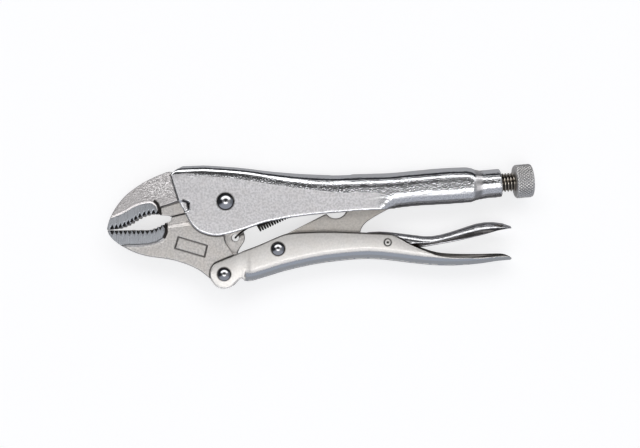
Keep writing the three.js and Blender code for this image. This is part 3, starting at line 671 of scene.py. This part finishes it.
def bevelled(x, y, z, normals):
    """The step down to the wire cutter's blade is a slope, not a wall."""
    below = height_of(BLADE_STEP, x) - y
    pressed = BEVEL_DEPTH * (1 - np.clip(below / BEVEL, 0, 1)) * (below > -0.3) * step(x, -35.5, -34.0)
    return inward(z, pressed * (np.abs(z) > CHEEK))


def lower_jaw_shade(x, y, z, normals):
    """Painted shade in the notches, round the pad, most behind it, and in the line round the bare field.
    """
    notch = notch_shade(x, y, lower_gullets, -1)
    behind_pad = 1 - step(near_line(x, y, BEHIND_LOWER_PAD), 0.7, 1.3)
    under_pad = 0.75 * (1 - step(near_line(x, y, UNDER_LOWER_PAD), 0.2, 0.6))
    line = 0.85 * (1 - step(near_line(x, y, FIELD_LINE), 0.3, 0.75)) * (z > SIDE)
    return np.maximum.reduce([notch, behind_pad, under_pad, line]) * (np.abs(z) > SIDE)


lower_gullets = gullets("lower_jaw", LOWER_TEETH, -1)
lower_jaw = worn("lower_jaw_forging", "lower_jaw", 0.3, 2, smooth_forging, ground_steel)
painted(lower_jaw, ground_pads)
tooled(lower_jaw, framed)
tooled(lower_jaw, bevelled)
tooled(lower_jaw, sunk(lower_gullets, -1))
# Painted shade in the seams with the handle, the upper jaw, the lower handle and the spring.
paint_seam_shade(lower_jaw, 1.1, "upper_handle", "upper_jaw", "lower_handle", "return_spring",
       also=lower_jaw_shade)
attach(lower_jaw, "lower_jaw")

# %% [markdown]
# ## Lower handle
# A channel of satin sheet with its bend below. The press leaves its sides a little full, and its upper
# edges are sheared. Along those edges and deep inside, where little light reaches, shade is painted
# into the colour. All of these depend only on where a point is and which way it faces, so they are
# moves and marks like those before.

# %% Lower handle
CROWN = 0.32
FULLEST = 0.5
# How dark the painted shade deep inside a channel is.
INSIDE_SHADE = 0.9


def facing_in(z, normals):
    """1 where a surface faces the middle plane of the tool, -1 where it faces away from it."""
    return -normals[:, 2] * np.sign(z)


def crowned(x, y, z, normals):
    """The press leaves the sides of the lower handle a little fuller near their upper edge."""
    low_edge, high_edge = edges_of(x, y)
    up_the_side = np.clip((2 * y - low_edge - high_edge) / np.maximum(high_edge - low_edge, 1), -1, 1)
    outside = step(-facing_in(z, normals), 0.2, 0.6) * (np.abs(z) > SIDE)
    return inward(z, CROWN * (up_the_side - FULLEST) ** 2 * outside)


def bent(x, y, z, normals):
    """The lower bend, which the press has polished, and which the same mark paints a darker, bluer tone,
    as a painted reflection.
    """
    return step(-normals[:, 1], 0.25, 0.5)


def channel_inside_shade(x, y, z, normals):
    """Painted shade deep in a channel, on the faces that look towards the middle plane of the tool."""
    return INSIDE_SHADE * step(facing_in(z, normals), 0.3, 0.7) * (np.abs(z) > 1)


def edge_and_inside_shade(x, y, z, normals):
    """Painted shade along the sheared upper edge of the lower handle, and deep inside it."""
    sheared = 1 - step(edges_of(x, y)[1] - y, 0.5, 1.1)
    return np.maximum(sheared, channel_inside_shade(x, y, z, normals))


lower_handle = worn("lower_handle_sheet", "lower_handle", 0.39, 4, satin_sheet)
tooled(lower_handle, crowned)
marked(lower_handle, "polish_and_sheen", bent)
# Painted shade in the seams with the rivets, the link, the lever and the jaw, along the upper edges and
# inside.
paint_seam_shade(lower_handle, 0.8, "handle_rivet", "link_rivet", "lever_rivet", "toggle_link", "release_lever",
       "lower_jaw", also=edge_and_inside_shade)
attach(lower_handle, "lower_handle")

# %% [markdown]
# ## Toggle link
# The link is a forging left as it came from tumbling: no ground face and no sharp edge anywhere. The
# worn copy with a dull material is all that it needs.

# %% Toggle link
toggle_link = worn("toggle_link_forging", "toggle_link", 0.27, 5, tumbled_steel)
# Painted shade in the seams with both handles.
paint_seam_shade(toggle_link, 0.8, "upper_handle", "lower_handle")
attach(toggle_link, "toggle_link")

# %% [markdown]
# ## Release lever
# A small bright channel that opens downwards, into the lower handle. Shade is painted inside it as in
# the lower handle, but its far lip shows below the near one and is left bright. So the painted shade
# stops at a line along that lip.

# %% Release lever
LEVER_FAR_LIP = [(108.5, -27.4), (122.4, -25.9), (137.6, -23.1), (153.3, -19.9), (161.1, -18),
                 (168.6, -16.3)]


def lever_inside_shade(x, y, z, normals):
    """Painted shade inside the lever too, but not on its far lip. In the corner by the lower handle
    that lip gets painted shade as well."""
    past_lip = step(y - height_of(LEVER_FAR_LIP, x), 0.3, 1.0)
    corner = (1 - step(x, 113, 120)) * step(facing_in(z, normals), -0.5, -0.2) * (z < -1)
    return np.maximum(channel_inside_shade(x, y, z, normals) * past_lip, corner)


release_lever = worn("release_lever_sheet", "release_lever", 0.27, 5, bright_sheet)
paint_seam_shade(release_lever, 1.5, "lower_handle", "lever_rivet", also=lever_inside_shade, strength=1.0)
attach(release_lever, "release_lever")

# %% [markdown]
# ## Turned pieces
# Rivets, screw and knob are round, and are made as a lathe makes them: a profile is turned about an
# axis, which is what bmesh's spin does. A Screw modifier would do the same, but a bmesh can still be
# cut and pressed afterwards. A profile is drawn as radius and height, and the finished piece is moved
# onto its axis.

# %% Turning a profile


def turned(profile, turns=1.0, advance=0.0, steps=64):
    """A bmesh spun from (radius, height) pairs in millimetres about Z. With an advance per turn in
    millimetres it climbs, as a thread does."""
    bm = bmesh.new()
    points = [bm.verts.new(Vector((radius, 0, height)) * MM) for radius, height in profile]
    edges = [bm.edges.new(pair) for pair in zip(points, points[1:])]
    bmesh.ops.spin(
        bm, geom=points + edges, cent=(0, 0, 0), axis=(0, 0, 1), dvec=(0, 0, advance * MM / steps),
        angle=2 * math.pi * turns, steps=int(steps * turns), use_merge=advance == 0)
    bmesh.ops.remove_doubles(bm, verts=bm.verts, dist=0.001 * MM)
    bmesh.ops.recalc_face_normals(bm, faces=bm.faces)
    return bm


def both_ends(profile):
    """A profile that is the same at its lower end as at its upper one."""
    return profile + [(radius, -height) for radius, height in reversed(profile)]


def finished(name, bm, material, matrix):
    """A smooth piece from a bmesh, put in place."""
    bmesh.ops.transform(bm, matrix=matrix, verts=bm.verts)
    mesh = bpy.data.meshes.new(name)
    bm.to_mesh(mesh)
    bm.free()
    mesh.shade_smooth()
    return shown(name, mesh, material)


# %% [markdown]
# ## Rivets
# The heads are domes, polished before plating. They mirror the whole room, so flat facets would show at
# once, and each dome is an exact arc in fine steps. Shade is painted round the rim of each head.

# %% Domed rivets
DOME_STEPS = 14
RIM = 0.46
# How dark the painted shade on a rivet is.
RIM_SHADE = 0.95


def rim_shade(piece, middle, shaded):
    """Marks painted shade where the given test is true of the distance from a rivet's axis, in
    millimetres.
    """
    axis = (middle - PIVOT) / MM
    marked(piece, "painted_shade", lambda x, y, z, normals:
           RIM_SHADE * shaded(np.hypot(x - axis.x, y - axis.y)))


def rivet(node, shank, head, dome, body):
    """A rivet with two domed heads. Shank and head are diameters, dome is the height of a head."""
    low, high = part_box(node)
    half = (high.z - low.z) / 2 / MM
    middle = (low + high) / 2
    seat = half - dome
    ball = ((head / 2) ** 2 + dome ** 2) / (2 * dome)
    sweep = math.asin(head / 2 / ball)
    angles = [sweep * i / DOME_STEPS for i in range(DOME_STEPS + 1)]
    cap = [(ball * math.sin(angle), half - ball + ball * math.cos(angle)) for angle in angles]
    bm = turned(both_ends(cap + [(head / 2 - 0.1, seat - 0.02), (shank / 2, seat)]))
    piece = finished(node + "_polished", bm, polished_steel, Matrix.Translation(middle))
    rim_shade(piece, middle, lambda away: away > RIM * head)
    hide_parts(node)
    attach(piece, body)
    print(piece.name, "head, mm:", head)


rivet("jaw_rivet", 6.4, 9.7, 2.0, "frame")
rivet("handle_rivet", 5.2, 7.9, 1.8, "lower_handle")
rivet("link_rivet", 5.2, 7.9, 1.8, "lower_handle")

# %% [markdown]
# The lever's rivet is set nearly flush, by a punch that leaves a ring round it and a mark in its
# centre. It isn't polished, so it takes the satin material of the handle round it.

# %% Flush rivet
CENTRE_MARK = 0.65
SET_RING = 1.6
low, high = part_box("lever_rivet")
half = (high.z - low.z) / 2 / MM
middle = (low + high) / 2
flush = [(0, half - 0.35), (0.35, half - 0.35), (0.6, half - 0.05), (0.9, half), (1.5, half),
         (1.85, half - 0.08), (2.0, half - 0.3), (1.4, half - 0.32)]
bm = turned(both_ends(flush), steps=40)
lever_rivet = finished("lever_rivet_set", bm, satin_sheet, Matrix.Translation(middle))
# Painted shade in the centre mark and round the set ring.
rim_shade(lever_rivet, middle, lambda away: (away < CENTRE_MARK) | (away > SET_RING))
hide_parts("lever_rivet")
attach(lever_rivet, "lower_handle")
print("flush rivet, mm across:", 2 * max(radius for radius, height in flush))

# %% [markdown]
# ## Adjusting screw
# A 7/16 inch screw with 14 threads to the inch. A thread is one V that climbs as it goes round, so the
# same spin makes it, with an advance. The ends are cut square and closed, and the outer one is pressed
# into the knob.

# %% Screw
turn_joint = next(joint for joint in frame["joints"] if joint["name"] == "screw_turn")
SCREW_AXIS = Vector(turn_joint["axis"]).normalized()
SCREW_AT = Vector(turn_joint["pos_m"])
ALONG_SCREW = Matrix.Translation(SCREW_AT) @ SCREW_AXIS.to_track_quat("Z", "Y").to_matrix().to_4x4()
THREAD_PITCH = 25.4 / 14
THREAD_CREST = 11.1 / 2
THREAD_DEPTH = 1.05
THREAD_ROOT = THREAD_CREST - THREAD_DEPTH
THREAD_STEPS = 40
PRESSED_IN = 0.5


def reach(node):
    """How far a node reaches along the screw's axis, in millimetres from the joint's point."""
    along = [(v.co - SCREW_AT).dot(SCREW_AXIS) / MM for v in frame["nodes"][node].data.vertices]
    print(node, "along the screw, mm:", round(min(along), 2), round(max(along), 2))
    return min(along), max(along)


def grooved(piece, depths):
    """Marks painted shade in the lower part of grooves. Depths are shares of a whole groove, one a
    point.
    """
    marks = [min(max(depth * 2.5 - 1.5, 0), 0.9) for depth in depths]
    piece.data.attributes.new("painted_shade", "FLOAT", "POINT").data.foreach_set("value", marks)


screw_from = reach("adjusting_screw")[0]
knob_from, knob_to = reach("adjusting_knob")
vee = [(THREAD_ROOT, 0), (THREAD_ROOT, 0.12), (THREAD_CREST, 0.78), (THREAD_CREST, 1.0),
       (THREAD_ROOT, 1.66), (THREAD_ROOT, THREAD_PITCH)]
thread_turns = math.ceil((knob_from - screw_from) / THREAD_PITCH) + 3
bm = turned(vee, thread_turns, THREAD_PITCH, steps=THREAD_STEPS)
bmesh.ops.translate(bm, verts=bm.verts, vec=(0, 0, (screw_from - 1.5 * THREAD_PITCH) * MM))
for cut, side in ((screw_from + 0.02, -1), (knob_from + PRESSED_IN, 1)):
    everything = bm.verts[:] + bm.edges[:] + bm.faces[:]
    bmesh.ops.bisect_plane(bm, geom=everything, dist=1e-7, plane_co=(0, 0, cut * MM),
                           plane_no=(0, 0, side), clear_outer=True)
open_edges = [edge for edge in bm.edges if edge.is_boundary]
bmesh.ops.holes_fill(bm, edges=open_edges, sides=0)
bmesh.ops.recalc_face_normals(bm, faces=bm.faces)
adjusting_screw = finished("adjusting_screw_thread", bm, screw_steel, ALONG_SCREW)
from_screw = ALONG_SCREW.inverted()
from_axis = [(from_screw @ v.co).xy.length / MM for v in adjusting_screw.data.vertices]
# Painted shade deep in the thread.
grooved(adjusting_screw, [(THREAD_CREST - radius) / THREAD_DEPTH for radius in from_axis])
adjusting_screw.data.set_sharp_from_angle(angle=math.radians(38))
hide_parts("adjusting_screw")
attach(adjusting_screw, "screw")
print("thread turns:", thread_turns, "open edges left:", len([e for e in open_edges if e.is_valid]))

# %% [markdown]
# ## Knob
# The knob is rolled between two knurling wheels, which leave two sets of crossing grooves and small
# pyramids between them. A bump map could show them, but the knob's outline would stay smooth, and a
# knurl is felt there first. So the barrel is turned with many fine steps, and the grooves are pressed
# into its points.

# %% Knob
KNOB_RADIUS = 19.8 / 2
EDGE = 1.6
EDGE_STEPS = 6
FLAT_RADIUS = KNOB_RADIUS - EDGE - 0.4
BORE_RADIUS = 4.4
BORE_DEPTH = 2.0
ROWS = 76
KNURLS_ROUND = 34
STEPS_A_KNURL = 9
KNURL_DEPTH = 0.5
KNURL_HALF = 0.7
KNURL_LEAN = 0.85
knurl_width = 2 * math.pi * KNOB_RADIUS / KNURLS_ROUND
end = [(0, knob_to - 0.25), (3.0, knob_to - 0.25), (3.4, knob_to), (FLAT_RADIUS, knob_to)]
angles = [math.pi / 2 * i / EDGE_STEPS for i in range(EDGE_STEPS + 1)]
corner = [(KNOB_RADIUS - EDGE + EDGE * math.sin(angle), knob_to - EDGE + EDGE * math.cos(angle))
          for angle in angles]
barrel = [(KNOB_RADIUS, knob_to - EDGE - (knob_to - knob_from - 2 * EDGE) * i / ROWS)
          for i in range(1, ROWS)]
lower_corner = [(radius, knob_from + knob_to - height) for radius, height in reversed(corner)]
foot = [(FLAT_RADIUS, knob_from), (BORE_RADIUS, knob_from), (BORE_RADIUS, knob_from + BORE_DEPTH),
        (0, knob_from + BORE_DEPTH)]
bm = turned(end + corner + barrel + lower_corner + foot, steps=KNURLS_ROUND * STEPS_A_KNURL)
depths = []
for vert in bm.verts:
    radius = math.hypot(vert.co.x, vert.co.y) / MM
    height = vert.co.z / MM
    inside = min(height - knob_from, knob_to - height)
    if radius < KNOB_RADIUS - EDGE or inside < 0.15:
        depths.append(0)
        continue
    angle = math.atan2(vert.co.y, vert.co.x) * KNURLS_ROUND / (2 * math.pi)
    climb = height / knurl_width * KNURL_LEAN
    from_groove = min(abs(2 * ((angle + side * climb) % 1) - 1) for side in (1, -1))
    depths.append(max(1 - from_groove / KNURL_HALF, 0) * min(inside, 1))
    vert.co.xy *= 1 - KNURL_DEPTH * depths[-1] / radius
bmesh.ops.recalc_face_normals(bm, faces=bm.faces)
knob = finished("adjusting_knob_knurled", bm, knurled_steel, ALONG_SCREW)
# Painted shade deep in the grooves of the knurl.
grooved(knob, depths)
knob.data.set_sharp_from_angle(angle=math.radians(50))
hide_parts("adjusting_knob")
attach(knob, "screw")
print("knob faces:", len(knob.data.polygons))

# %% [markdown]
# ## Return spring
# One wire: a hook through the hole in the lower jaw, a straight leg, 21 coils that nearly touch, and a
# hook behind the tongue of the upper handle. A curve with a round bevel is the natural way to make
# wire, and it becomes a mesh.

# %% Spring
WIRE = 1.1
COIL_RADIUS = (6.3 - WIRE) / 2
COILS = 21
COIL_PITCH = 1.6
COIL_STEPS = 16
HOOK_STEPS = 6
LEG = 14.5
WEB = 3.5
HOOK_HOLE = place(5.1, -21.3)
TONGUE = place(61.0, 5.2)
spring_axis = (TONGUE - HOOK_HOLE).normalized()
spring_side = Vector((-spring_axis.y, spring_axis.x, 0))
spring_reach = (TONGUE - HOOK_HOLE).length / MM


def wire_point(along, side, height):
    """A point given in millimetres along the spring, to its side and above its middle."""
    return HOOK_HOLE + (spring_axis * along + spring_side * side + Vector((0, 0, height))) * MM


route = [wire_point(0, 0, -WEB / 2 - WIRE), wire_point(0, 0, 0), wire_point(0.2, 0, COIL_RADIUS - 0.8),
         wire_point(1.0, 0.3, COIL_RADIUS), wire_point(LEG / 2, COIL_RADIUS * 0.7, COIL_RADIUS * 0.7)]
for i in range(COILS * COIL_STEPS + 1):
    angle = 2 * math.pi * i / COIL_STEPS + math.pi / 2
    route.append(wire_point(LEG + COIL_PITCH * i / COIL_STEPS,
                            COIL_RADIUS * math.sin(angle), COIL_RADIUS * math.cos(angle)))
route.append(wire_point((LEG + COILS * COIL_PITCH + spring_reach) / 2, 0, COIL_RADIUS))
for i in range(HOOK_STEPS + 1):
    angle = math.pi * i / HOOK_STEPS
    route.append(wire_point(spring_reach + COIL_RADIUS * math.sin(angle), 0,
                            COIL_RADIUS * math.cos(angle)))
route.append(wire_point(spring_reach - 2, 0, -COIL_RADIUS))
wire = bpy.data.curves.new("spring_wire", "CURVE")
wire.dimensions = "3D"
wire.bevel_depth = WIRE / 2 * MM
wire.bevel_resolution = 3
wire.use_fill_caps = True
line = wire.splines.new("BEZIER")
line.resolution_u = 3
line.bezier_points.add(len(route) - 1)
for bend, point in zip(line.bezier_points, route):
    bend.co = point
    bend.handle_left_type = bend.handle_right_type = "AUTO"
drawn = bpy.data.objects.new("spring_route", wire)
bpy.context.scene.collection.objects.link(drawn)
evaluated = drawn.evaluated_get(bpy.context.evaluated_depsgraph_get())
spring_mesh = bpy.data.meshes.new_from_object(evaluated)
bpy.data.objects.remove(drawn)
spring_mesh.shade_smooth()
spring_mesh.materials.clear()
return_spring = shown("return_spring_wire", spring_mesh, spring_steel)
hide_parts("return_spring")
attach(return_spring, "frame")
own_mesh(return_spring)
print("spring faces:", len(spring_mesh.polygons))

# %% [markdown]
# ## Plain end of the screw
# Behind the last thread the screw is turned down to a plain round end, on which the link bears. It lies
# inside the tube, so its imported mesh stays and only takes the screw's material.

# %% Plain end of the screw
screw_point = frame["nodes"]["screw_point"]
screw_point.data.materials.clear()
screw_point.data.materials.append(screw_steel)
print("screw point faces:", len(screw_point.data.polygons))

# %% [markdown]
# ## Floor
# A white table. To the eye it is as white as paper, but it lights the tool no more than a grey table
# does. The light path tells the two apart: what the camera sees directly gets a glow on top.

# %% Floor
FLOOR_SIZE = 4.0
FLOOR_BELOW = 0.05
FLOOR_GLOW = 0.71
GLOW_IN_MIRRORS = 0.15
bm = bmesh.new()
bmesh.ops.create_grid(bm, x_segments=1, y_segments=1, size=FLOOR_SIZE / 2)
bmesh.ops.translate(bm, verts=bm.verts, vec=(0, 0, -FLOOR_BELOW * MM))
floor_mesh = bpy.data.meshes.new("floor")
bm.to_mesh(floor_mesh)
bm.free()
white_table = bpy.data.materials.new("white_table")
white_table.use_nodes = True
tree = white_table.node_tree
tree.nodes.clear()
rays = add(tree, "ShaderNodeLightPath")
mirrored = add(tree, "ShaderNodeMath", {0: rays.outputs["Is Glossy Ray"], 1: GLOW_IN_MIRRORS},
               operation="MULTIPLY")
seen = add(tree, "ShaderNodeMath", {0: rays.outputs["Is Camera Ray"], 1: mirrored.outputs[0]},
           operation="MAXIMUM")
paper = add(tree, "ShaderNodeBsdfDiffuse", {"Color": linear("#ADADAF")})
glow = add(tree, "ShaderNodeEmission", {"Color": linear("#FFFFFF"), "Strength": FLOOR_GLOW})
dark = add(tree, "ShaderNodeEmission", {"Color": linear("#000000"), "Strength": 0.0})
lit = add(tree, "ShaderNodeMixShader", {
    "Fac": seen.outputs[0], 1: dark.outputs[0], 2: glow.outputs[0]})
whole = add(tree, "ShaderNodeAddShader", {0: paper.outputs[0], 1: lit.outputs[0]})
add(tree, "ShaderNodeOutputMaterial", {"Surface": whole.outputs[0]})
floor = shown("floor", floor_mesh, white_table)
print("floor, m:", FLOOR_SIZE)

# %% [markdown]
# ## Studio
# Polished steel shows its surroundings more than itself, so the surroundings matter: a broad soft light
# behind the tool, a narrow one high in front of it, and dim walls between them. Lamps would show as
# hard bright shapes in the steel. Painted on the sky by height and direction, the lights have soft
# edges, and one ramp of brightness stands for each side of the room.

# %% Studio
COOL = (0.93, 0.98, 1.08)
COOL_BELOW = 60
DIM = 0.5
world = bpy.data.worlds.new("studio")
bpy.context.scene.world = world
world.use_nodes = True
tree = world.node_tree
tree.nodes.clear()
direction = add(tree, "ShaderNodeTexCoord").outputs["Generated"]
parts = add(tree, "ShaderNodeSeparateXYZ", {0: direction})
height = add(tree, "ShaderNodeMath", {0: parts.outputs["Z"]}, operation="ARCSINE")
level = add(tree, "ShaderNodeMapRange", {
    "Value": height.outputs[0], "From Min": -math.pi / 2, "From Max": math.pi / 2})
flat = add(tree, "ShaderNodeCombineXYZ", {0: parts.outputs["X"], 1: parts.outputs["Y"]})
heading = add(tree, "ShaderNodeVectorMath", {0: flat.outputs[0]}, operation="NORMALIZE")
toward = add(tree, "ShaderNodeSeparateXYZ", {0: heading.outputs[0]})


def sky(stops):
    """Brightness by height: (degrees above the horizon, brightness) pairs. Dim low parts are a little
    blue."""
    ramp = add(tree, "ShaderNodeValToRGB", {"Fac": level.outputs["Result"]})
    ramp.color_ramp.interpolation = "EASE"
    elements = ramp.color_ramp.elements
    while len(elements) < len(stops):
        elements.new(0.5)
    for element, (degrees, brightness) in zip(elements, stops):
        element.position = (degrees + 90) / 180
        tone = COOL if degrees < COOL_BELOW and brightness < DIM else (1, 1, 1)
        element.color = (*(brightness * channel for channel in tone), 1)
    return ramp.outputs["Color"]


behind = sky([(-2, 0.03), (28, 0.04), (33, 0.7), (37, 2.2), (55, 2.2), (61, 0.5), (67, 0.05),
              (87, 0.05), (90, 0.25)])
before = sky([(-2, 0.36), (8, 0.46), (44, 0.46), (56, 0.48), (64, 0.8), (68, 2.6), (79, 2.6), (83, 0.2),
              (87, 0.07), (90, 0.25)])
leftward = sky([(-2, 0.03), (50, 0.04), (62, 0.3), (80, 0.4), (90, 0.22)])
rightward = sky([(-2, 0.08), (30, 0.25), (60, 0.4), (80, 0.4), (90, 0.22)])


def between(part, low_end, high_end, first, second):
    """Goes from the first colour to the second as a part of the direction goes from end to end."""
    share = add(tree, "ShaderNodeMapRange", {
        "Value": part, "From Min": low_end, "From Max": high_end}, interpolation_type="SMOOTHSTEP")
    return add(tree, "ShaderNodeMix", {0: share.outputs["Result"], 6: first, 7: second},
               data_type="RGBA").outputs[2]


sideways = add(tree, "ShaderNodeMath", {0: toward.outputs["Y"]}, operation="ABSOLUTE").outputs[0]
across = between(toward.outputs["Y"], -0.2, 0.2, before, behind)
along = between(toward.outputs["X"], -0.2, 0.2, leftward, rightward)
studio = between(sideways, 0.25, 0.7, along, across)
camera_ray = add(tree, "ShaderNodeLightPath").outputs["Is Camera Ray"]
backdrop = add(tree, "ShaderNodeMix", {0: camera_ray, 6: studio, 7: linear("#F8F8F8")},
               data_type="RGBA").outputs[2]
sky_light = add(tree, "ShaderNodeBackground", {"Color": backdrop, "Strength": 1.0})
add(tree, "ShaderNodeOutputWorld", {"Surface": sky_light.outputs[0]})
print("studio nodes:", len(tree.nodes))
